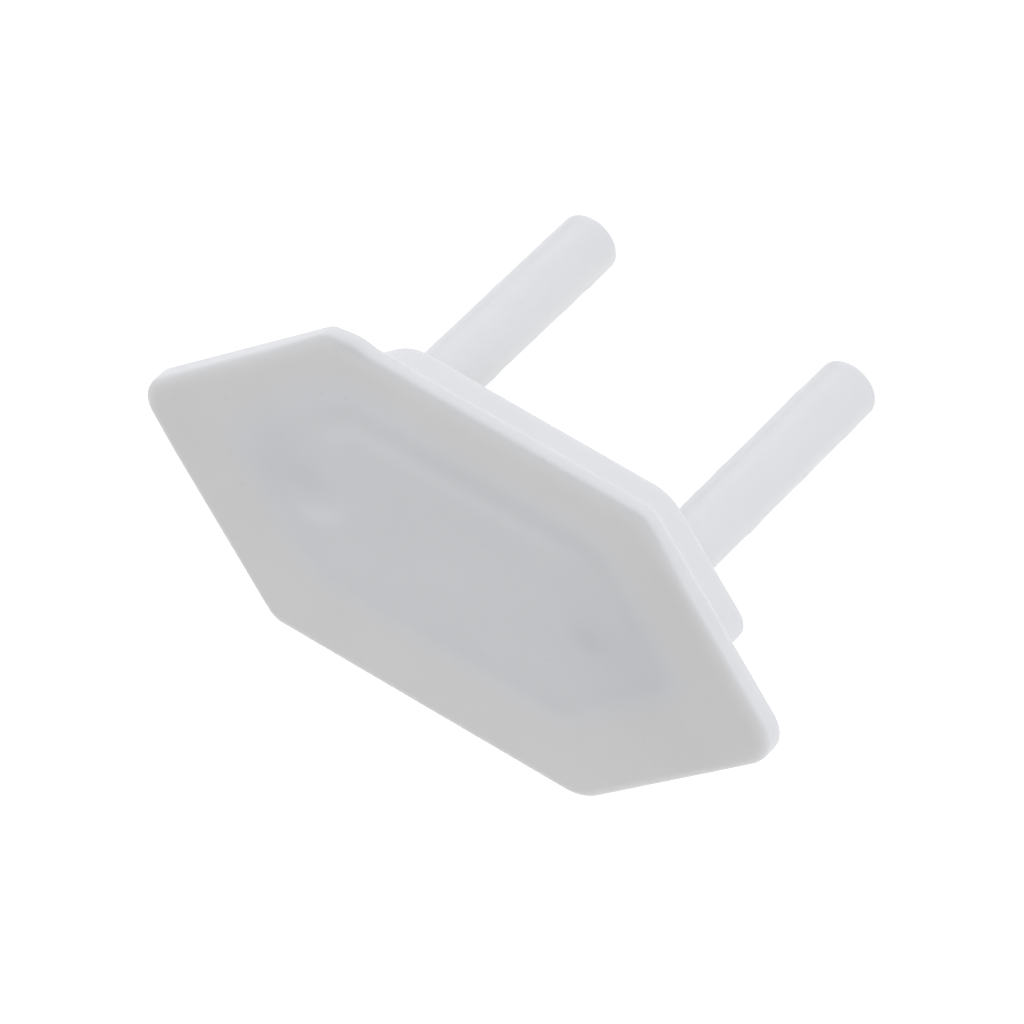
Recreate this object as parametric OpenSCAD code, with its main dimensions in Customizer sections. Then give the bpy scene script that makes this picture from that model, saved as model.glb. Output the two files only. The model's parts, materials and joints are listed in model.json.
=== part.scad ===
/* [Front plate] */
// Overall length of the plate, from rounded tip to rounded tip
plate_length = 44.95; // [40:0.05:60]
// Overall height of the plate, from long side to long side
plate_height = 23.8; // [20:0.1:32]
// Thickness of the plate
plate_thickness = 1.8; // [1.3:0.05:3]
// Slope of the four short sides against the long axis, in degrees
end_angle = 45; // [38:1:52]
// Outline radius of the plate at its two tips
plate_tip_radius = 1.8; // [1:0.05:4]
// Outline radius of the plate where a long side meets a short side
plate_side_radius = 1.4; // [1:0.05:4]
// Rounding of the plate's front edge
front_edge_radius = 0.9; // [0.2:0.05:0.95]

/* [Rim wall] */
// Width of plate that stands out all round the rim wall
rim_margin = 4.85; // [3:0.05:6]
// Depth of the rim wall behind the plate
rim_depth = 6.3; // [3:0.1:10]
// Thickness of the rim wall
rim_wall = 1.6; // [1:0.05:1.8]
// Outer radius of the rim wall at its two tips
rim_tip_radius = 1.45; // [1:0.05:4]
// Outer radius of the rim wall where a long side meets a short side
rim_side_radius = 3.1; // [2:0.05:4]
// Radius of the rim wall's corners on the inside
hollow_corner_radius = 1; // [0.6:0.05:1.5]
// Rounding of the rim wall's free edge, inside and out
rim_edge_radius = 0.3; // [0.1:0.05:0.45]
// Fillet between the rim wall and the plate, inside and out
rim_root_radius = 0.3; // [0.1:0.05:0.5]

/* [Pins] */
// Distance between the centres of the two pins
pin_spacing = 19; // [17.5:0.1:19.5]
// Diameter of a pin
pin_diameter = 4; // [3.5:0.05:4.4]
// Length of a pin from the plate's back to its tip
pin_length = 27.6; // [20:0.1:35]
// Rounding round the flat tip of a pin
pin_tip_radius = 0.2; // [0.1:0.05:0.8]
// Fillet where a pin rises from the plate
pin_root_radius = 0.5; // [0.2:0.05:0.7]

/* [Gate mark] */
// Distance of the gate mark from the middle of the upper long side
gate_offset = 9.5; // [0:0.1:10]
// Length of the gate mark along the side
gate_length = 2.4; // [1:0.1:3]
// How far the gate mark stands out from the side
gate_height = 0.2; // [0.05:0.05:0.5]
// Width of the gate mark, measured forward from the plate's back
gate_width = 0.8; // [0.5:0.05:1.1]

/* [Hidden] */
white_plastic = [0.93, 0.94, 0.95];
$fn = 64;

// Steps in each round corner of an outline, and in each rounded edge or fillet
corner_steps = 8;
edge_steps = 5;

// How far the rim wall and the pins are rooted in the plate
root_depth = plate_thickness / 2;
// How far a cut runs past the surface that it opens
cut_margin = 1;

function direction(angle) = [cos(angle), sin(angle)];

// Points of an arc from one angle to another
function arc(centre, radius, from, to) =
    [for (step = [0:edge_steps]) centre + radius * direction(from + (to - from) * step / edge_steps)];

// A hexagon's sides face these ways, anticlockwise from the one above its right-hand tip, and its
// outline turns by these angles at the corner before each side
facings = [90 - end_angle, 90, 90 + end_angle, 270 - end_angle, 270, 270 + end_angle];
turns = [180 - 2 * end_angle, end_angle, end_angle, 180 - 2 * end_angle, end_angle, end_angle];

// Sharp corners of a hexagon that reaches this far to each side and this far up and down
function corners(reach, half_height) =
    let (shoulder = reach - half_height / tan(end_angle))
    [
        [reach, 0],
        [shoulder, half_height],
        [-shoulder, half_height],
        [-reach, 0],
        [-shoulder, -half_height],
        [shoulder, -half_height]
    ];

// One radius for the two tips and one for the four other corners
function corner_radii(tip_radius, side_radius) =
    [tip_radius, side_radius, side_radius, tip_radius, side_radius, side_radius];

// Centre of the arc that rounds one corner
function arc_centre(points, radii, i) =
    points[i] - radii[i] / cos(turns[i] / 2) * direction(facings[i] - turns[i] / 2);

// Points of that hexagon with its corners rounded, grown outward all round and lifted to a height
function ring(points, radii, growth, height) = [
    for (i = [0:5], step = [0:corner_steps])
        let (angle = facings[i] - turns[i] * (1 - step / corner_steps))
        [each arc_centre(points, radii, i) + (radii[i] + growth) * direction(angle), height]
];

// Plate, rim wall and the hollow inside it are the same outline, each moved in from the one before
plate_reach = plate_length / 2 + plate_tip_radius * (1 / sin(end_angle) - 1);
rim_reach = plate_reach - rim_margin / sin(end_angle);
hollow_reach = rim_reach - rim_wall / sin(end_angle);
plate_half_height = plate_height / 2;
rim_half_height = plate_half_height - rim_margin;
hollow_half_height = rim_half_height - rim_wall;

// Solid between rings of one hexagon: the profile gives each ring's growth and height, from the
// lowest to the highest
module loft(reach, half_height, radii, profile) {
    points = corners(reach, half_height);
    count = 6 * (corner_steps + 1);
    last = len(profile) - 1;
    polyhedron(
        [for (level = profile) each ring(points, radii, level[0], level[1])],
        [
            [for (i = [0:count - 1]) i],
            [for (i = [count - 1:-1:0]) last * count + i],
            for (level = [0:last - 1], i = [0:count - 1])
                let (lower = level * count, next = (i + 1) % count)
                [lower + i, lower + count + i, lower + count + next, lower + next]
        ]
    );
}

// Flat plate with its front edge rounded
module front_plate() {
    translate([0, 0, -plate_thickness])
        loft(plate_reach, plate_half_height, corner_radii(plate_tip_radius, plate_side_radius), [
            each arc([-front_edge_radius, front_edge_radius], front_edge_radius, -90, 0),
            [0, plate_thickness]
        ]);
}

// Outside of the rim wall as a block, filleted to the plate and rounded at its free edge
module rim_block() {
    loft(rim_reach, rim_half_height, corner_radii(rim_tip_radius, rim_side_radius), [
        [rim_root_radius, -root_depth],
        each arc([rim_root_radius, rim_root_radius], rim_root_radius, 270, 180),
        each arc([-rim_edge_radius, rim_depth - rim_edge_radius], rim_edge_radius, 0, 90)
    ]);
}

// Room inside the rim wall, down to the plate's back
module rim_hollow() {
    loft(hollow_reach, hollow_half_height, corner_radii(hollow_corner_radius, hollow_corner_radius), [
        each arc([-rim_root_radius, rim_root_radius], rim_root_radius, -90, 0),
        each arc([rim_edge_radius, rim_depth - rim_edge_radius], rim_edge_radius, 180, 90),
        [rim_edge_radius, rim_depth + cut_margin]
    ]);
}

// Round pin with a fillet at its root and a rounded edge round its flat tip
module pin() {
    pin_radius = pin_diameter / 2;
    translate([0, 0, -root_depth])
        cylinder(r = pin_radius + pin_root_radius, h = root_depth);
    rotate_extrude() {
        square([pin_radius, pin_length - pin_tip_radius]);
        square([pin_radius - pin_tip_radius, pin_length]);
        translate([pin_radius - pin_tip_radius, pin_length - pin_tip_radius]) intersection() {
            circle(pin_tip_radius);
            square(pin_tip_radius);
        }
        translate([pin_radius, 0]) difference() {
            square(pin_root_radius);
            translate([pin_root_radius, pin_root_radius]) circle(pin_root_radius);
        }
    }
}

// Low lens-shaped stub left on the upper long side where the moulding was cut from its runner
module gate_mark() {
    gate_radius = (pow(gate_length / 2, 2) + pow(gate_height, 2)) / (2 * gate_height);
    translate([-gate_offset, gate_radius - gate_height - plate_half_height, -gate_width])
        cylinder(r = gate_radius, h = gate_width);
}

// Drawn with its face down and its pins up, then turned so that the pins point back
module socket_cover() {
    color(white_plastic) rotate([-90, 0, 0]) {
        difference() {
            union() {
                front_plate();
                rim_block();
                gate_mark();
            }
            rim_hollow();
        }
        for (side = [-1, 1])
            translate([side * pin_spacing / 2, 0, 0]) pin();
    }
}

socket_cover();
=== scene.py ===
"""Looks of the outlet safety cover: one moulding of soft, slightly translucent white plastic.

The cover is one closed mesh, built from rings of the same rounded hexagon as the solid that it
stands for. Sizes are in millimetres and are turned into metres when the mesh is made.
"""

import json
import math

import bmesh
import bpy
from mathutils import Matrix, Vector, noise
from mathutils.geometry import delaunay_2d_cdt


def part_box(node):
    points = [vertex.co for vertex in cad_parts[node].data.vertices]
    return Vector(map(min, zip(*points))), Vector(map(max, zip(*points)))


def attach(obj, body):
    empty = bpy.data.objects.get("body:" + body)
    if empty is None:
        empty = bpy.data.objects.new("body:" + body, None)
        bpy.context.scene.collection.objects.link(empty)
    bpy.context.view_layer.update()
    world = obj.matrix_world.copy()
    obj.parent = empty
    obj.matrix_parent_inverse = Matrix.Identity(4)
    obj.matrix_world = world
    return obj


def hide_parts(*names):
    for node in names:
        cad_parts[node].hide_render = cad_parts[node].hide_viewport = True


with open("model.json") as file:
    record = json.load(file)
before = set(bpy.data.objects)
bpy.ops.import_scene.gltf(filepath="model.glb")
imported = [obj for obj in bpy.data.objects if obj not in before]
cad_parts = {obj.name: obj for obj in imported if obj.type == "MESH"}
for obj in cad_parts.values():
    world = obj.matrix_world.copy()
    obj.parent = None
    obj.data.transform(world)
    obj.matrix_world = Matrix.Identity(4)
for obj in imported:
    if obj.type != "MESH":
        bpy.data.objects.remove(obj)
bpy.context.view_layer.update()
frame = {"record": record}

MM = 0.001

# Driving sizes, from the frame
mounts = {mount["name"]: mount for mount in frame["record"]["mounts"]}
cover_low, cover_high = (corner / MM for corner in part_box("socket_cover"))
PLATE_LENGTH = cover_high.x - cover_low.x
PLATE_HEIGHT = -2 * cover_low.z
PLATE_THICKNESS = -cover_low.y
GATE_HEIGHT = cover_high.z + cover_low.z
PIN_TIP = cover_high.y
PIN_RADIUS = mounts["pin_right"]["dims"]["r_mm"]
PIN_OFFSET = mounts["pin_right"]["pos_m"][0] / MM

# Sizes that the frame doesn't give
END_ANGLE = math.radians(45)
PLATE_TIP_RADIUS = 1.8
RIM_MARGIN = 4.85
RIM_DEPTH = 6.3
RIM_WALL = 1.6
RIM_TIP_RADIUS = 1.45
RIM_SIDE_RADIUS = 3.1
HOLLOW_CORNER_RADIUS = 1.0
RIM_EDGE_RADIUS = 0.3
RIM_ROOT_RADIUS = 0.3
PIN_TIP_RADIUS = 0.2
PIN_ROOT_RADIUS = 0.5
GATE_OFFSET = 9.5
GATE_LENGTH = 2.4

# Depths between which the gate mark grows out of the side
GATE_RANGE = (-1.7, -0.15)

# Outline radius at each corner of the plate, which isn't quite even, anticlockwise from the right
PLATE_RADII = [2.36, 1.4, 1.4, PLATE_TIP_RADIUS, 1.92, 3.0]

# The front edge is a round one on the lower sides. On the upper sides it turns tightly at the side
# and more and more gently towards the face. Each has the radius at the side and what is added to
# it towards the face, and the one changes into the other over a range of heights.
LOWER_EDGE = (0.8, 0.0)
UPPER_EDGE = (0.4, 2.4)
EDGE_CHANGE = (-3.0, 3.0)
EDGE_CHANGE_INSET = 1.0

# Fineness of the mesh. A hold is a narrow strip of the flat surface beside a rounded edge.
CORNER_STEPS = 12
LONG_SIDE_STEPS = 84
SHORT_SIDE_STEPS = 60
EDGE_STEPS = 8
FRONT_EDGE_STEPS = 14
PIN_STEPS = 72
PIN_RING_SPACING = 0.2
HOLD = 0.08
LEAST_RADIUS = 0.05
FACE_SPACING = 0.42
FACE_SLACK = 0.15
FLOOR_SPACING = 0.5
TIP_SPACING = 0.35
LEAST_ROOM = 0.6
SAME_POINT = 1e-7

# Where rings lie between two others: on the plate's side, on its margin and on the rim wall
SIDE_SHARES = (0.8, 0.6, 0.4, 0.2, 0.06, 0.0)
MARGIN_SHARES = (0.01, 0.1, 0.3, 0.5, 0.7, 0.9, 0.98)
WALL_SHARES = (0.35, 0.65)

# The face sank a little over the rim wall and the pins, and waves a little where it is flat
WALL_SINK_DEPTH = 0.035
WALL_SINK_WIDTH = 0.9
PIN_SINK_DEPTH = 0.06
PIN_SINK_WIDTH = 1.5
WAVE_HEIGHT = 0.012
WAVE_LENGTH = 4.5
WAVE_LAYER = 3.7
FLAT_RANGE = (0.3, 3.0)

# Broken ridges that the mould's joint left along the pins, of beads and a finer grit
RIDGE_HEIGHT = 0.032
RIDGE_HALF_ANGLE = math.radians(13)
RIDGE_ANGLES = (math.radians(-24), math.radians(156))
RIDGE_START = (1.5, 3.0)
RIDGE_END = (PIN_TIP - 1.2, PIN_TIP - 0.4)
BEAD_LENGTH = 1.7
BEAD_LAYER = (7.3, 11.9)
BEAD_RANGE = (-0.1, 0.6)
GRIT_LENGTH = 0.45
GRIT_LAYER = (3.3, 17.1)
GRIT_SHARE = 0.35

# Burrs on the pins' ridges: side, ridge, depth, half length and rise
BURRS = [
    (1, 0, 14.1, 0.5, 0.05),
    (1, 0, 7.2, 0.4, 0.04),
    (1, 1, 23.8, 0.9, 0.045),
    (-1, 0, 25.2, 0.5, 0.05),
    (-1, 1, 19.6, 0.6, 0.03),
]

# How strong one level of painted lightness and a whole step of painted warmth are in the plastic's
# colour
LEVEL = 0.0118
WARMTH = (0.015, 0.003, -0.021)

# The plastic lets a little light through, so the wall and the pins show faintly in the face. This
# light and shade is painted into the face's colour, moved by this much and this much narrower.
SHOW_THROUGH = (-0.04, 1.3)
SHOW_NARROWER = 1.04

# Levels of painted light and shade on the face, which are whole down to this far behind it and
# fade out on the front edge. A range runs from where a change starts to where it ends, measured
# inward from the rim's outline as it shows, from the middle to a side, or upward.
FACE_FULL = 0.05
# Painted shade over the whole face, which behind the rim's outline grows darker towards the right
FACE_LEVEL = -0.8
FACE_SLOPE = -0.09
BEHIND_RANGE = (-0.9, 0.3)
# Painted light on the thin margin, which falls off towards the left and the right
MARGIN_LEVEL = 2.2
MARGIN_LEFT_LOSS = 1.3
MARGIN_LEFT_RANGE = (8, 16)
MARGIN_RIGHT_LOSS = 2.8
MARGIN_RIGHT_RANGE = (8, 14)
MARGIN_HEIGHT_RANGE = (-8, -2)
# Painted shade: a darker band over the rim wall, weaker low down and at the left
WALL_LEVEL = -2.0
WALL_MIDDLE = 0.55
WALL_WIDTH = 0.7
WALL_LEAST = 0.4
WALL_HEIGHT_RANGE = (-4, 1)
WALL_LEFT_RANGE = (-13, -8)
# Painted highlight: a lighter stripe just inside the rim wall's upper side
STRIPE_LEVEL = 2.4
STRIPE_MIDDLE = 1.95
STRIPE_WIDTH = 0.6
STRIPE_HEIGHT_RANGE = (3.5, 5.0)
STRIPE_LEFT_RANGE = (-10.5, -9.0)
STRIPE_RIGHT_RANGE = (2, 10)
# Painted highlight: a lighter crescent on the lower right of the left pin's sink
CRESCENT_LEVEL = 5.4
CRESCENT_CENTRE = (-10.4, 0.9)
CRESCENT_RADIUS = 2.6
CRESCENT_WIDTH = 0.7
CRESCENT_FACING = math.radians(-60)
CRESCENT_HALF_ANGLE = 0.62

# The margin is painted warmer than what lies behind the rim's outline, which reaches out a little
# at
# the upper left: a painted warm tint of the light that comes through the thin plastic
WARM_RANGE = (-2.4, 0.1)
WARM_REACH = 0.9
WARM_LEFT_RANGE = (0, 8)
WARM_HEIGHT_RANGE = (2, 8)

# Soft spots of painted shade at the hollow's two ends and over the pins, where the thick plastic
# lets
# less light through: strength, middle in x and z, width in x and z. The first ones are darker, the
# last ones cooler.
DARK_SPOTS = [
    (3.8, -12.6, 1.0, 1.9, 2.8),
    (2.6, 12.8, 1.0, 2.2, 3.2),
    (3.6, -10.3, 1.0, 1.2, 1.1),
    (4.6, 9.7, 1.1, 1.0, 1.0),
    (2.4, 9.5, 1.6, 2.5, 3.0),
]
COOL_SPOTS = [
    (0.7, -10.5, 1.0, 2.5, 2.0),
    (0.7, 11.0, 1.0, 3.0, 2.5),
]

# Levels of painted light and shade on the pins, from just below the rim's free edge outward.
# Angles are in degrees, round the pin from the side that is lit best.
PIN_LIT_ANGLE = math.radians(66)
PIN_PAINT_START = RIM_DEPTH - 2
PIN_ROUND_RANGE = (PIN_RADIUS - 0.6, PIN_RADIUS - 0.1)
# Painted shade over the whole pin, a little cooler
PIN_LEVEL = -1.2
PIN_WARMTH = -0.15
# Painted shade: a darker streak beside the upper ridge, uneven along the pin
STREAK_LEVEL = -3.2
STREAK_NOISE = -2.4
STREAK_NOISE_LENGTH = 0.9
STREAK_LAYER = (3.1, 5.7)
STREAK_ANGLE = 55
STREAK_WIDTH = 8
# Painted light: a lighter band towards the lit side
BAND_LEVEL = 1.2
BAND_ANGLE = 32
BAND_WIDTH = 12
# Painted light: a paler, warmer stretch towards the pin's lower side
LOW_EDGE_LEVEL = 2.4
LOW_EDGE_WARMTH = 0.7
LOW_EDGE_RANGE = (35, 68)
# Painted light: the left pin is paler and warmer on that side too
LEFT_PIN_LEVEL = 1.6
LEFT_PIN_WARMTH = 0.3
LEFT_PIN_RANGE = (15, 45)
PIN_BACK_RANGE = (90, 130)

# Levels of painted shade by which the plate's back edge, the rim's free edge and the upper front
# edge are darkened
BACK_EDGE_LEVEL = -12.0
BACK_EDGE_WIDTH = 0.05
RIM_EDGE_LEVEL = -4.0
TOP_EDGE_LEVEL = -9.5
TOP_EDGE_DEPTH = -1.03
TOP_EDGE_WIDTH = 0.22
TOP_EDGE_RANGE = (PLATE_HEIGHT / 2 - 4.0, PLATE_HEIGHT / 2 - 0.3)

# Camera, in millimetres and degrees
CAMERA_AIM = Vector((1.262, 2.181, 3.06))
CAMERA_AZIMUTH = 26.179
CAMERA_ELEVATION = 44.589
CAMERA_ROLL = 10.947
CAMERA_DISTANCE = 591.292
CAMERA_LENS = 351.916
CAMERA_SENSOR = 36.0
CAMERA_CLIP = (0.01, 100.0)

# Studio: the sky's tone changes with the share of the way from the front to the back
FLOOR_DROP = 62.0
FLOOR_SIZE = 6000.0
FLOOR_COLOUR = (0.9, 0.9, 0.9)
FLOOR_LIFT = 0.3
SKY_STRENGTH = 1.225
SKY_DIRECTION = (0.0, 1.0, 0.0)
SKY_STOPS = [
    (0.0, (0.13, 0.13, 0.13)),
    (0.45, (0.93, 0.941, 0.973)),
    (0.65, (0.93, 0.941, 0.973)),
    (1.0, (0.65, 0.658, 0.68)),
]


def turned(angle):
    """Unit vector at an angle, in the plane of the plate."""
    return Vector((math.cos(angle), math.sin(angle)))


def smooth(value, start, end):
    """Goes from 0 at start to 1 at end with no kink."""
    share = min(1.0, max(0.0, (value - start) / (end - start)))
    return share * share * (3 - 2 * share)


def bell(value, middle, width):
    """Goes from 1 at the middle to 0 a few widths away from it."""
    return math.exp(-(((value - middle) / width) ** 2))


def half_turned(angle):
    """The same angle between minus and plus half a turn."""
    return (angle + math.pi) % (2 * math.pi) - math.pi


class Hexagon:
    """A hexagon that is pointed left and right, with rounded corners."""

    def __init__(self, reach, half_height, radii):
        self.reach = reach
        self.half_height = half_height
        shoulder = reach - half_height / math.tan(END_ANGLE)
        self.corners = [
            Vector((reach, 0)),
            Vector((shoulder, half_height)),
            Vector((-shoulder, half_height)),
            Vector((-reach, 0)),
            Vector((-shoulder, -half_height)),
            Vector((shoulder, -half_height)),
        ]
        self.radii = radii
        quarter = math.pi / 2
        self.facings = [
            quarter - END_ANGLE,
            quarter,
            quarter + END_ANGLE,
            3 * quarter - END_ANGLE,
            3 * quarter,
            3 * quarter + END_ANGLE,
        ]
        self.turns = [math.pi - 2 * END_ANGLE, END_ANGLE, END_ANGLE] * 2
        self.outward = [turned(self.facings[i] - self.turns[i] / 2) for i in range(6)]

    def centre(self, i, radius):
        """Centre of the arc that rounds one corner with a radius."""
        return self.corners[i] - radius / math.cos(self.turns[i] / 2) * self.outward[i]

    def corner(self, i, growth):
        """Points of one rounded corner, grown outward; far inside it stays almost sharp."""
        turn, facing = self.turns[i], self.facings[i]
        radius = max(self.radii[i], LEAST_RADIUS - growth)
        centre = self.centre(i, radius)
        angles = (facing - turn * (1 - step / CORNER_STEPS) for step in range(CORNER_STEPS + 1))
        return [centre + (radius + growth) * turned(angle) for angle in angles]

    def ring(self, growth):
        """Points of the whole outline, grown outward, the same number at any size."""
        corners = [self.corner(i, growth) for i in range(6)]
        points = []
        for i, steps in enumerate([SHORT_SIDE_STEPS, LONG_SIDE_STEPS, SHORT_SIDE_STEPS] * 2):
            points += corners[i]
            start, end = corners[i][-1], corners[(i + 1) % 6][0]
            points += [start.lerp(end, step / steps) for step in range(1, steps)]
        return points

    def inset(self, x, z):
        """Distance of a point from the outline, measured inward."""
        slanted = (self.reach - abs(x)) * math.sin(END_ANGLE) - abs(z) * math.cos(END_ANGLE)
        nearest = min(self.half_height - abs(z), slanted)
        for i in range(6):
            away = Vector((x, z)) - self.centre(i, self.radii[i])
            if away.dot(self.outward[i]) > away.length * math.cos(self.turns[i] / 2):
                nearest = min(nearest, self.radii[i] - away.length)
        return nearest


class Shell:
    """Collects the points and faces of one closed mesh."""

    def __init__(self):
        self.points = []
        self.faces = []
        self.sharp = set()

    def ring(self, flat_points, depth):
        """Adds a ring of points at one depth."""
        first = len(self.points)
        self.points += [Vector((point.x, depth, point.y)) for point in flat_points]
        return list(range(first, len(self.points)))

    def band(self, ring_a, ring_b):
        """Joins two rings by a strip of quads."""
        for i in range(len(ring_a)):
            j = (i + 1) % len(ring_a)
            self.faces.append((ring_a[i], ring_a[j], ring_b[j], ring_b[i]))

    def loft(self, ring, following):
        """Joins a ring to each of the following rings in turn, and gives the last."""
        for next_ring in following:
            self.band(ring, next_ring)
            ring = next_ring
        return ring

    def sheet(self, loops, room, spacing, depth, slack=0.0):
        """Fills the flat area between loops of points with small triangles.

        room gives a point's distance from the edge of the area, which is positive inside it.
        slack is how far outside it a triangle's middle may be, where room isn't exact.
        """
        indices = [index for loop in loops for index in loop]
        flat = [Vector((self.points[index].x, self.points[index].z)) for index in indices]
        edges, start = [], 0
        for loop in loops:
            count = len(loop)
            edges += [(start + i, start + (i + 1) % count) for i in range(count)]
            start += count
        low_x, high_x = min(p.x for p in flat), max(p.x for p in flat)
        low_z, high_z = min(p.y for p in flat), max(p.y for p in flat)
        row_gap = spacing * math.sqrt(3) / 2
        rows = int((high_z - low_z) / row_gap) + 1
        columns = int((high_x - low_x) / spacing) + 1
        for row in range(rows):
            for column in range(columns):
                x = low_x + (column + 0.5 * (row % 2)) * spacing
                z = low_z + (row + 0.5) * row_gap
                if room(x, z) > LEAST_ROOM * spacing:
                    indices.append(len(self.points))
                    self.points.append(Vector((x, depth(x, z), z)))
                    flat.append(Vector((x, z)))
        places, _, triangles, origins, _, _ = delaunay_2d_cdt(flat, edges, [], 1, SAME_POINT)
        for triangle in triangles:
            middle = sum((places[i] for i in triangle), Vector((0, 0))) / 3
            if room(middle.x, middle.y) > -slack:
                self.faces.append(tuple(indices[origins[i][0]] for i in triangle))


def arc(growth_centre, depth_centre, radius, start, end):
    """Growth and depth along a rounded edge, from one angle to another in degrees."""
    profile = []
    for step in range(EDGE_STEPS + 1):
        angle = math.radians(start + (end - start) * step / EDGE_STEPS)
        growth = growth_centre + radius * math.cos(angle)
        profile.append((growth, depth_centre + radius * math.sin(angle)))
    return profile


plate_reach = PLATE_LENGTH / 2 + PLATE_TIP_RADIUS * (1 / math.sin(END_ANGLE) - 1)
rim_reach = plate_reach - RIM_MARGIN / math.sin(END_ANGLE)
hollow_reach = rim_reach - RIM_WALL / math.sin(END_ANGLE)
plate = Hexagon(plate_reach, PLATE_HEIGHT / 2, PLATE_RADII)
rim = Hexagon(
    rim_reach,
    plate.half_height - RIM_MARGIN,
    [RIM_TIP_RADIUS, RIM_SIDE_RADIUS, RIM_SIDE_RADIUS] * 2,
)
hollow = Hexagon(hollow_reach, rim.half_height - RIM_WALL, [HOLLOW_CORNER_RADIUS] * 6)


def edge_depth(edge):
    """How far a front edge reaches back into the side."""
    tight, spread = edge
    return tight + spread / 5


def edge_reach(edge):
    """How far a front edge reaches into the face."""
    tight, spread = edge
    return tight + spread * 8 / 15


def edge_profile(edge):
    """Growth and depth along a front edge, from the face to the side, and then to the back.

    The radius is the tight one plus the spread times the fourth power of the cosine of the
    angle from the front, and the sums below are its integrals.
    """
    tight, spread = edge
    profile = []
    for step in range(FRONT_EDGE_STEPS + 1):
        angle = math.pi / 2 * step / FRONT_EDGE_STEPS
        s, c = math.sin(angle), math.cos(angle)
        inward = tight * (1 - s) + spread * (8 / 15 - s + s**3 * 2 / 3 - s**5 / 5)
        forward = tight * c + spread * c**5 / 5
        profile.append((-inward, edge_depth(edge) - PLATE_THICKNESS - forward))
    side_depth = profile[-1][1]
    return profile + [(0, side_depth * share) for share in SIDE_SHARES]


def face_reach(z):
    """How far the front edge reaches into the face at a height."""
    lower, upper = edge_reach(LOWER_EDGE), edge_reach(UPPER_EDGE)
    return lower + (upper - lower) * smooth(z, *EDGE_CHANGE) + HOLD


def face_room(x, z):
    """Distance of a point from the front edge, measured inward on the flat of the face."""
    return plate.inset(x, z) - face_reach(z)


def face_depth(x, z):
    """Depth of the front face, which sank a little over the rim wall and over each pin."""
    wall_middle = RIM_MARGIN + RIM_WALL / 2
    sink = WALL_SINK_DEPTH * bell(plate.inset(x, z), wall_middle, WALL_SINK_WIDTH)
    for side in (-1, 1):
        away = math.hypot(x - side * PIN_OFFSET, z)
        sink += PIN_SINK_DEPTH * bell(away, 0, PIN_SINK_WIDTH)
    wave = noise.noise(Vector((x, z, WAVE_LAYER)) / WAVE_LENGTH)
    flatness = smooth(face_room(x, z), *FLAT_RANGE)
    return -PLATE_THICKNESS + sink + flatness * WAVE_HEIGHT * (1 + wave)


def gate_rise(x):
    """How far the gate mark stands out from the upper long side."""
    half = GATE_LENGTH / 2
    radius = (half**2 + GATE_HEIGHT**2) / (2 * GATE_HEIGHT)
    away = min(half, abs(x + GATE_OFFSET))
    return max(0.0, math.sqrt(radius**2 - away**2) - (radius - GATE_HEIGHT))


def add_plate(shell):
    """Front face, front edge and side with the gate mark; gives the ring at the back."""
    shares = [smooth(point.y, *EDGE_CHANGE) for point in plate.ring(-EDGE_CHANGE_INSET)]

    def ring(lower, upper):
        """Ring between the two kinds of front edge, each given as a growth and a depth."""
        first = len(shell.points)
        outlines = zip(shares, plate.ring(lower[0]), plate.ring(upper[0]))
        for share, low_point, high_point in outlines:
            flat = low_point.lerp(high_point, share)
            y = lower[1] + (upper[1] - lower[1]) * share
            if high_point.y > plate.half_height + upper[0] - HOLD / 2:
                flat.y += smooth(y, *GATE_RANGE) * gate_rise(flat.x)
            shell.points.append(Vector((flat.x, y, flat.y)))
        return list(range(first, len(shell.points)))

    lower, upper = edge_profile(LOWER_EDGE), edge_profile(UPPER_EDGE)
    face = ring(
        (lower[0][0] - HOLD, -PLATE_THICKNESS),
        (upper[0][0] - HOLD, -PLATE_THICKNESS),
    )
    shell.sheet([face], face_room, FACE_SPACING, face_depth, FACE_SLACK)
    rings = [ring(low_level, high_level) for low_level, high_level in zip(lower, upper)]
    shell.sharp = set(rings[-1])
    return shell.loft(face, rings)


def add_rim(shell, plate_edge):
    """Margin of the plate, the rim wall and the edge of the hollow's floor."""
    foot = rim.ring(RIM_ROOT_RADIUS)
    edge = [Vector((shell.points[index].x, shell.points[index].z)) for index in plate_edge]
    margin = [
        shell.ring([a.lerp(b, share) for a, b in zip(edge, foot)], 0) for share in MARGIN_SHARES
    ]
    wall_levels = [(0, RIM_ROOT_RADIUS + HOLD)]
    wall_levels += [(0, RIM_DEPTH * share) for share in WALL_SHARES]
    wall_levels.append((0, RIM_DEPTH - RIM_EDGE_RADIUS - HOLD))
    edge_start = RIM_DEPTH - RIM_EDGE_RADIUS
    outside = arc(RIM_ROOT_RADIUS, RIM_ROOT_RADIUS, RIM_ROOT_RADIUS, 270, 180)
    outside += wall_levels
    outside += arc(-RIM_EDGE_RADIUS, edge_start, RIM_EDGE_RADIUS, 0, 90)
    outside.append((-RIM_EDGE_RADIUS - HOLD, RIM_DEPTH))
    inside = [(RIM_EDGE_RADIUS + HOLD, RIM_DEPTH)]
    inside += arc(RIM_EDGE_RADIUS, edge_start, RIM_EDGE_RADIUS, 90, 180)
    inside += wall_levels[::-1]
    inside += arc(-RIM_ROOT_RADIUS, RIM_ROOT_RADIUS, RIM_ROOT_RADIUS, 0, -90)
    inside.append((-RIM_ROOT_RADIUS - HOLD, 0))
    rings = [shell.ring(rim.ring(growth), depth) for growth, depth in outside]
    rings += [shell.ring(hollow.ring(growth), depth) for growth, depth in inside]
    return shell.loft(plate_edge, margin + rings)


def pin_noise(depth, length, layer, side, row):
    """Smooth noise along a pin, another one for each pin and row."""
    return noise.noise(Vector((depth / length, layer[0] * side, layer[1] * row)))


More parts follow.
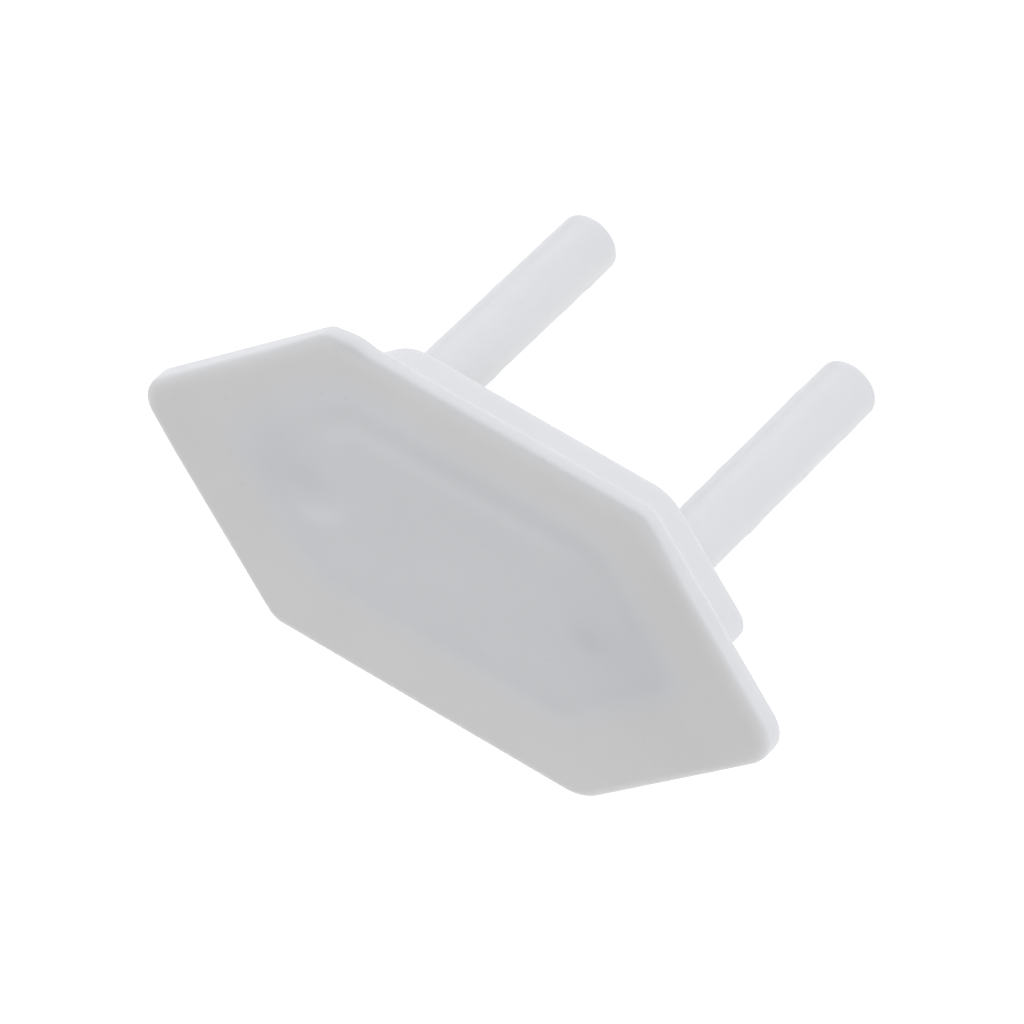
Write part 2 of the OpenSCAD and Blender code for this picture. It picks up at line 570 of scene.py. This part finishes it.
def ridge_height(side, number, depth):
    """Height of a pin's ridge at a depth, with its beads, grit and burrs."""
    bead = pin_noise(depth, BEAD_LENGTH, BEAD_LAYER, side, number)
    grit = pin_noise(depth, GRIT_LENGTH, GRIT_LAYER, side, number)
    height = RIDGE_HEIGHT * (smooth(bead, *BEAD_RANGE) + GRIT_SHARE * grit)
    for burr_side, burr_ridge, burr_depth, half_length, burr_rise in BURRS:
        if (burr_side, burr_ridge) == (side, number):
            height += burr_rise * bell(depth, burr_depth, half_length)
    return height


def pin_ring(side, radius, depth):
    """Points round a pin's axis at a depth, with its two ridges."""
    fade = smooth(depth, *RIDGE_START) * (1 - smooth(depth, *RIDGE_END))
    heights = [ridge_height(side, number, depth) for number in range(len(RIDGE_ANGLES))]
    points = []
    for step in range(PIN_STEPS):
        angle = 2 * math.pi * step / PIN_STEPS
        rise = 0.0
        for ridge_angle, height in zip(RIDGE_ANGLES, heights):
            away = abs(half_turned(angle - ridge_angle))
            if away < RIDGE_HALF_ANGLE:
                rise += height * math.cos(away / RIDGE_HALF_ANGLE * math.pi / 2) ** 2
        points.append(Vector((side * PIN_OFFSET, 0)) + (radius + fade * rise) * turned(angle))
    return points


def add_pin(shell, side):
    """One pin with the fillet at its root; gives the ring where it meets the hollow's floor."""
    profile = [(PIN_RADIUS + PIN_ROOT_RADIUS + HOLD, 0)]
    profile += arc(PIN_RADIUS + PIN_ROOT_RADIUS, PIN_ROOT_RADIUS, PIN_ROOT_RADIUS, 270, 180)
    start, end = PIN_ROOT_RADIUS + HOLD, PIN_TIP - PIN_TIP_RADIUS - HOLD
    steps = round((end - start) / PIN_RING_SPACING)
    profile += [(PIN_RADIUS, start + (end - start) * step / steps) for step in range(steps + 1)]
    profile += arc(PIN_RADIUS - PIN_TIP_RADIUS, PIN_TIP - PIN_TIP_RADIUS, PIN_TIP_RADIUS, 0, 90)
    tip_radius = PIN_RADIUS - PIN_TIP_RADIUS - HOLD
    profile.append((tip_radius, PIN_TIP))
    rings = [shell.ring(pin_ring(side, radius, depth), depth) for radius, depth in profile]
    tip = shell.loft(rings[0], rings[1:])

    def tip_room(x, z):
        return tip_radius - math.hypot(x - side * PIN_OFFSET, z)

    shell.sheet([tip], tip_room, TIP_SPACING, lambda x, z: PIN_TIP)
    return rings[0]


def soft_spots(x, z, spots):
    """Sum of soft round spots at a place on the face."""
    return sum(
        strength * bell(x, middle_x, width_x) * bell(z, middle_z, width_z)
        for strength, middle_x, middle_z, width_x, width_z in spots
    )


def at_least(least, share):
    """Goes from the least value to 1 as the share goes from 0 to 1."""
    return least + (1 - least) * share


def face_painted_light(x, z):
    """Painted lightness and warmth: the light and shade that the rim wall and the pins lend to the
    face in front of them.
    """
    inside = rim.inset(SHOW_NARROWER * x - SHOW_THROUGH[0], z - SHOW_THROUGH[1])
    behind = smooth(inside, *BEHIND_RANGE)
    right_share = smooth(x, *MARGIN_RIGHT_RANGE) * smooth(z, *MARGIN_HEIGHT_RANGE)
    margin = MARGIN_LEVEL - MARGIN_RIGHT_LOSS * right_share
    margin -= MARGIN_LEFT_LOSS * smooth(-x, *MARGIN_LEFT_RANGE)
    wall = bell(inside, WALL_MIDDLE, WALL_WIDTH)
    wall *= at_least(WALL_LEAST, smooth(z, *WALL_HEIGHT_RANGE))
    wall *= at_least(WALL_LEAST, smooth(x, *WALL_LEFT_RANGE))
    stripe = bell(inside, STRIPE_MIDDLE, STRIPE_WIDTH) * smooth(z, *STRIPE_HEIGHT_RANGE)
    stripe *= smooth(x, *STRIPE_LEFT_RANGE) * (1 - smooth(x, *STRIPE_RIGHT_RANGE))
    right, up = x - CRESCENT_CENTRE[0], z - CRESCENT_CENTRE[1]
    crescent = bell(math.hypot(right, up), CRESCENT_RADIUS, CRESCENT_WIDTH)
    crescent *= bell(math.atan2(up, right), CRESCENT_FACING, CRESCENT_HALF_ANGLE)
    # Painted light on the margin, and painted shade behind the rim's outline that darkens to the
    # right
    level = FACE_LEVEL + (1 - behind) * margin + behind * FACE_SLOPE * x
    # Painted shade over the wall, painted highlights in the stripe and the crescent
    level += WALL_LEVEL * wall + STRIPE_LEVEL * stripe + CRESCENT_LEVEL * crescent
    # Painted shade in the dark spots
    level -= soft_spots(x, z, DARK_SPOTS)
    # Painted warm tint over the margin, made cooler over the pins
    reach = WARM_REACH * smooth(-x, *WARM_LEFT_RANGE) * smooth(z, *WARM_HEIGHT_RANGE)
    warm = 1 - smooth(inside + reach, *WARM_RANGE) - soft_spots(x, z, COOL_SPOTS)
    return level, warm


def pin_painted_light(x, depth, z):
    """Painted lightness and warmth along a pin: a streak of painted shade beside its upper ridge,
    and an edge of painted light.
    """
    side = math.copysign(1, x)
    right = x - side * PIN_OFFSET
    turn = math.degrees(half_turned(math.atan2(z, right) - PIN_LIT_ANGLE))
    front = 1 - smooth(-turn, *PIN_BACK_RANGE)
    low_edge = front * smooth(-turn, *LOW_EDGE_RANGE)
    left_pin = front * smooth(-turn, *LEFT_PIN_RANGE) if side < 0 else 0.0
    grain = pin_noise(depth, STREAK_NOISE_LENGTH, STREAK_LAYER, side, 1)
    # Painted shade in the streak, painted light in the band, the lower edge and the left pin
    level = (STREAK_LEVEL + STREAK_NOISE * grain) * bell(turn, STREAK_ANGLE, STREAK_WIDTH)
    level += BAND_LEVEL * bell(turn, BAND_ANGLE, BAND_WIDTH)
    level += LOW_EDGE_LEVEL * low_edge + LEFT_PIN_LEVEL * left_pin
    warm = LOW_EDGE_WARMTH * low_edge + LEFT_PIN_WARMTH * left_pin
    round_side = smooth(math.hypot(right, z), *PIN_ROUND_RANGE)
    share = smooth(depth, PIN_PAINT_START, RIM_DEPTH)
    return share * (PIN_LEVEL + round_side * level), share * (PIN_WARMTH + round_side * warm)


def on_pin(x, depth, z):
    """Whether a point is on a pin, beyond where its painted light and shade start."""
    away = math.hypot(abs(x) - PIN_OFFSET, z)
    return depth > PIN_PAINT_START and away < PIN_RADIUS + 2 * RIDGE_HEIGHT


def on_rim_edge(x, depth, z):
    """Whether a point is on the rounded free edge of the rim wall."""
    return RIM_DEPTH - RIM_EDGE_RADIUS < depth <= RIM_DEPTH and rim.inset(x, z) > -HOLD


def back_edge_share(x, depth, z):
    """Goes from 1 at the plate's back edge to 0 a little way from it, on the side and the back."""
    return math.exp(-max(-depth, plate.inset(x, z)) / BACK_EDGE_WIDTH)


def painted_light_at(x, depth, z):
    """Painted lightness and warmth at a point of the cover."""
    level, warm = 0.0, 0.0
    edge_start = PLATE_THICKNESS - edge_depth(UPPER_EDGE)
    face_share = smooth(-depth, edge_start, PLATE_THICKNESS - FACE_FULL)
    if face_share > 0:
        level, warm = (face_share * value for value in face_painted_light(x, z))
    elif on_pin(x, depth, z):
        level, warm = pin_painted_light(x, depth, z)
    # Painted shade on the rim's free edge and along the plate's back edge
    elif on_rim_edge(x, depth, z):
        level = RIM_EDGE_LEVEL
    elif depth <= 0:
        level = BACK_EDGE_LEVEL * back_edge_share(x, depth, z)
    # Painted shade along the upper front edge
    if depth < -TOP_EDGE_WIDTH:
        nearness = bell(depth, TOP_EDGE_DEPTH, TOP_EDGE_WIDTH)
        level += TOP_EDGE_LEVEL * nearness * smooth(z, *TOP_EDGE_RANGE)
    return level, warm


def add_painted_light(mesh):
    """Stores the painted light and shade as a lightness and a warmth for every point, for the
    material.
    """
    values = [painted_light_at(*(vertex.co / MM)) for vertex in mesh.vertices]
    lightness = [1 + LEVEL * level for level, warm in values]
    warmth = [warm for level, warm in values]
    mesh.attributes.new("lightness", "FLOAT", "POINT").data.foreach_set("value", lightness)
    mesh.attributes.new("warmth", "FLOAT", "POINT").data.foreach_set("value", warmth)


def make_cover():
    """The whole cover as one closed mesh."""
    shell = Shell()
    floor_edge = add_rim(shell, add_plate(shell))
    roots = [add_pin(shell, side) for side in (-1, 1)]
    root_radius = PIN_RADIUS + PIN_ROOT_RADIUS + HOLD

    def floor_room(x, z):
        pin_room = math.hypot(abs(x) - PIN_OFFSET, z) - root_radius
        return min(hollow.inset(x, z) - RIM_ROOT_RADIUS - HOLD, pin_room)

    shell.sheet([floor_edge, *roots], floor_room, FLOOR_SPACING, lambda x, z: 0.0)
    mesh = bpy.data.meshes.new("cover")
    mesh.from_pydata([point * MM for point in shell.points], [], shell.faces)
    work = bmesh.new()
    work.from_mesh(mesh)
    bmesh.ops.recalc_face_normals(work, faces=work.faces)
    work.to_mesh(mesh)
    work.free()
    mesh.shade_smooth()
    mesh.validate()
    for edge in mesh.edges:
        edge.use_edge_sharp = all(vertex in shell.sharp for vertex in edge.vertices)
    add_painted_light(mesh)
    cover = bpy.data.objects.new("cover", mesh)
    bpy.context.scene.collection.objects.link(cover)
    return cover


class Nodes:
    """Short way to add and join the nodes of one material or world."""

    def __init__(self, owner):
        owner.use_nodes = True
        self.tree = owner.node_tree
        self.tree.nodes.clear()

    def add(self, kind, values=None, **settings):
        """Adds a node with its settings and the values of its sockets."""
        node = self.tree.nodes.new(kind)
        for name, value in settings.items():
            setattr(node, name, value)
        for name, value in (values or {}).items():
            node.inputs[name].default_value = value
        return node

    def ramp(self, stops):
        """Adds a colour ramp with these positions and colours."""
        node = self.add("ShaderNodeValToRGB")
        elements = node.color_ramp.elements
        while len(elements) < len(stops):
            elements.new(0.5)
        for element, (position, colour) in zip(elements, stops):
            element.position = position
            element.color = (*colour, 1)
        return node

    def join(self, source, output, target, socket):
        """Joins an output of one node to a socket of another."""
        self.tree.links.new(source.outputs[output], target.inputs[socket])


def white_plastic():
    """Soft white plastic: light goes a little way in, with a satin skin over it."""
    material = bpy.data.materials.new("white_plastic")
    nodes = Nodes(material)
    place = nodes.add("ShaderNodeTexCoord")
    cloud = nodes.add(
        "ShaderNodeTexNoise",
        {"Scale": 160.0, "Detail": 3.0, "Roughness": 0.55},
        noise_dimensions="3D",
    )
    dust = nodes.add(
        "ShaderNodeTexNoise",
        {"Scale": 2400.0, "Detail": 0.0},
        noise_dimensions="3D",
    )
    grain = nodes.add(
        "ShaderNodeTexNoise",
        {"Scale": 2600.0, "Detail": 4.0, "Roughness": 0.6},
        noise_dimensions="3D",
    )
    tint = nodes.ramp([(0.3, (0.795, 0.795, 0.795)), (0.7, (0.815, 0.815, 0.815))])
    specks = nodes.add(
        "ShaderNodeMapRange",
        {"From Min": 0.8, "From Max": 0.85, "To Min": 1.0, "To Max": 0.965},
    )
    satin = nodes.add("ShaderNodeMapRange", {"To Min": 0.36, "To Max": 0.5})
    bump = nodes.add("ShaderNodeBump", {"Strength": 0.12, "Distance": 0.00004})
    # The points' painted light and shade, as lightness and warmth, tint the base colour
    lightness = nodes.add("ShaderNodeAttribute", attribute_name="lightness")
    warmth = nodes.add("ShaderNodeAttribute", attribute_name="warmth")
    specks_and_painted_light = nodes.add("ShaderNodeMath", operation="MULTIPLY")
    shift = nodes.add("ShaderNodeVectorMath", {0: WARMTH}, operation="SCALE")
    factor = nodes.add("ShaderNodeVectorMath", {1: (1.0, 1.0, 1.0)}, operation="ADD")
    warmed = nodes.add("ShaderNodeVectorMath", operation="MULTIPLY")
    colour = nodes.add("ShaderNodeVectorMath", operation="SCALE")
    shader = nodes.add(
        "ShaderNodeBsdfPrincipled",
        {
            "Subsurface Weight": 1.0,
            "Subsurface Radius": (1.0, 1.0, 1.0),
            "Subsurface Scale": 0.0003,
            "Specular IOR Level": 0.4,
            "IOR": 1.5,
        },
        subsurface_method="RANDOM_WALK",
    )
    out = nodes.add("ShaderNodeOutputMaterial")
    for texture in (cloud, dust, grain):
        nodes.join(place, "Object", texture, "Vector")
    nodes.join(cloud, "Fac", tint, "Fac")
    nodes.join(warmth, "Fac", shift, "Scale")
    nodes.join(shift, "Vector", factor, 0)
    nodes.join(tint, "Color", warmed, 0)
    nodes.join(factor, "Vector", warmed, 1)
    nodes.join(dust, "Fac", specks, "Value")
    nodes.join(lightness, "Fac", specks_and_painted_light, 0)
    nodes.join(specks, "Result", specks_and_painted_light, 1)
    nodes.join(warmed, "Vector", colour, 0)
    nodes.join(specks_and_painted_light, "Value", colour, "Scale")
    nodes.join(colour, "Vector", shader, "Base Color")
    nodes.join(cloud, "Fac", satin, "Value")
    nodes.join(satin, "Result", shader, "Roughness")
    nodes.join(grain, "Fac", bump, "Height")
    nodes.join(bump, "Normal", shader, "Normal")
    nodes.join(shader, "BSDF", out, "Surface")
    return material


def seen_directly(nodes):
    """Adds a value that is 1 for what the camera sees, also in gloss or through glass."""
    path = nodes.add("ShaderNodeLightPath")
    first = nodes.add("ShaderNodeMath", operation="MAXIMUM")
    second = nodes.add("ShaderNodeMath", operation="MAXIMUM")
    nodes.join(path, "Is Camera Ray", first, 0)
    nodes.join(path, "Is Glossy Ray", first, 1)
    nodes.join(first, "Value", second, 0)
    nodes.join(path, "Is Transmission Ray", second, 1)
    return second


def make_floor():
    """Pale floor under the cover that reads white and keeps the shadow."""
    half = FLOOR_SIZE / 2
    height = cover_low.z - FLOOR_DROP
    corners = [(-half, -half), (half, -half), (half, half), (-half, half)]
    mesh = bpy.data.meshes.new("floor")
    mesh.from_pydata([Vector((x, y, height)) * MM for x, y in corners], [], [(0, 1, 2, 3)])
    floor = bpy.data.objects.new("floor", mesh)
    bpy.context.scene.collection.objects.link(floor)
    material = bpy.data.materials.new("pale_floor")
    nodes = Nodes(material)
    diffuse = nodes.add("ShaderNodeBsdfDiffuse", {"Color": (*FLOOR_COLOUR, 1)})
    lift = nodes.add("ShaderNodeEmission", {"Color": (1, 1, 1, 1)})
    strength = nodes.add("ShaderNodeMath", {1: FLOOR_LIFT}, operation="MULTIPLY")
    both = nodes.add("ShaderNodeAddShader")
    out = nodes.add("ShaderNodeOutputMaterial")
    nodes.join(seen_directly(nodes), "Value", strength, 0)
    nodes.join(strength, "Value", lift, "Strength")
    nodes.join(diffuse, "BSDF", both, 0)
    nodes.join(lift, "Emission", both, 1)
    nodes.join(both, "Shader", out, "Surface")
    mesh.materials.append(material)


def make_sky():
    """Soft light from all round, much dimmer from the front, with a white background."""
    world = bpy.data.worlds.new("sky")
    bpy.context.scene.world = world
    nodes = Nodes(world)
    place = nodes.add("ShaderNodeTexCoord")
    along = nodes.add("ShaderNodeVectorMath", {1: SKY_DIRECTION}, operation="DOT_PRODUCT")
    share = nodes.add("ShaderNodeMapRange", {"From Min": -1.0, "From Max": 1.0})
    tone = nodes.ramp(SKY_STOPS)
    light = nodes.add("ShaderNodeBackground", {"Strength": SKY_STRENGTH})
    white = nodes.add("ShaderNodeBackground", {"Color": (1, 1, 1, 1), "Strength": 1.0})
    choice = nodes.add("ShaderNodeMixShader")
    out = nodes.add("ShaderNodeOutputWorld")
    nodes.join(place, "Generated", along, 0)
    nodes.join(along, "Value", share, "Value")
    nodes.join(share, "Result", tone, "Fac")
    nodes.join(tone, "Color", light, "Color")
    nodes.join(seen_directly(nodes), "Value", choice, "Fac")
    nodes.join(light, "Background", choice, 1)
    nodes.join(white, "Background", choice, 2)
    nodes.join(choice, "Shader", out, "Surface")


def make_camera():
    """Camera at the photograph's viewing angle."""
    azimuth = math.radians(CAMERA_AZIMUTH)
    elevation = math.radians(CAMERA_ELEVATION)
    roll = math.radians(CAMERA_ROLL)
    back = Vector(
        (
            math.sin(azimuth) * math.cos(elevation),
            -math.cos(azimuth) * math.cos(elevation),
            math.sin(elevation),
        )
    )
    level_right = Vector((0, 0, 1)).cross(back).normalized()
    level_up = back.cross(level_right)
    right = math.cos(roll) * level_right + math.sin(roll) * level_up
    up = math.cos(roll) * level_up - math.sin(roll) * level_right
    data = bpy.data.cameras.new("camera")
    data.sensor_width = CAMERA_SENSOR
    data.lens = CAMERA_LENS
    data.clip_start, data.clip_end = CAMERA_CLIP
    camera = bpy.data.objects.new("camera", data)
    bpy.context.scene.collection.objects.link(camera)
    camera.matrix_world = Matrix(
        (
            (right.x, up.x, back.x, 0),
            (right.y, up.y, back.y, 0),
            (right.z, up.z, back.z, 0),
            (0, 0, 0, 1),
        )
    )
    camera.location = (CAMERA_AIM + back * CAMERA_DISTANCE) * MM
    bpy.context.scene.camera = camera


make_camera()
cover = make_cover()
cover.data.materials.append(white_plastic())
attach(cover, "root")
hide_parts("socket_cover")
make_floor()
make_sky()
bpy.context.scene.view_settings.view_transform = "Standard"
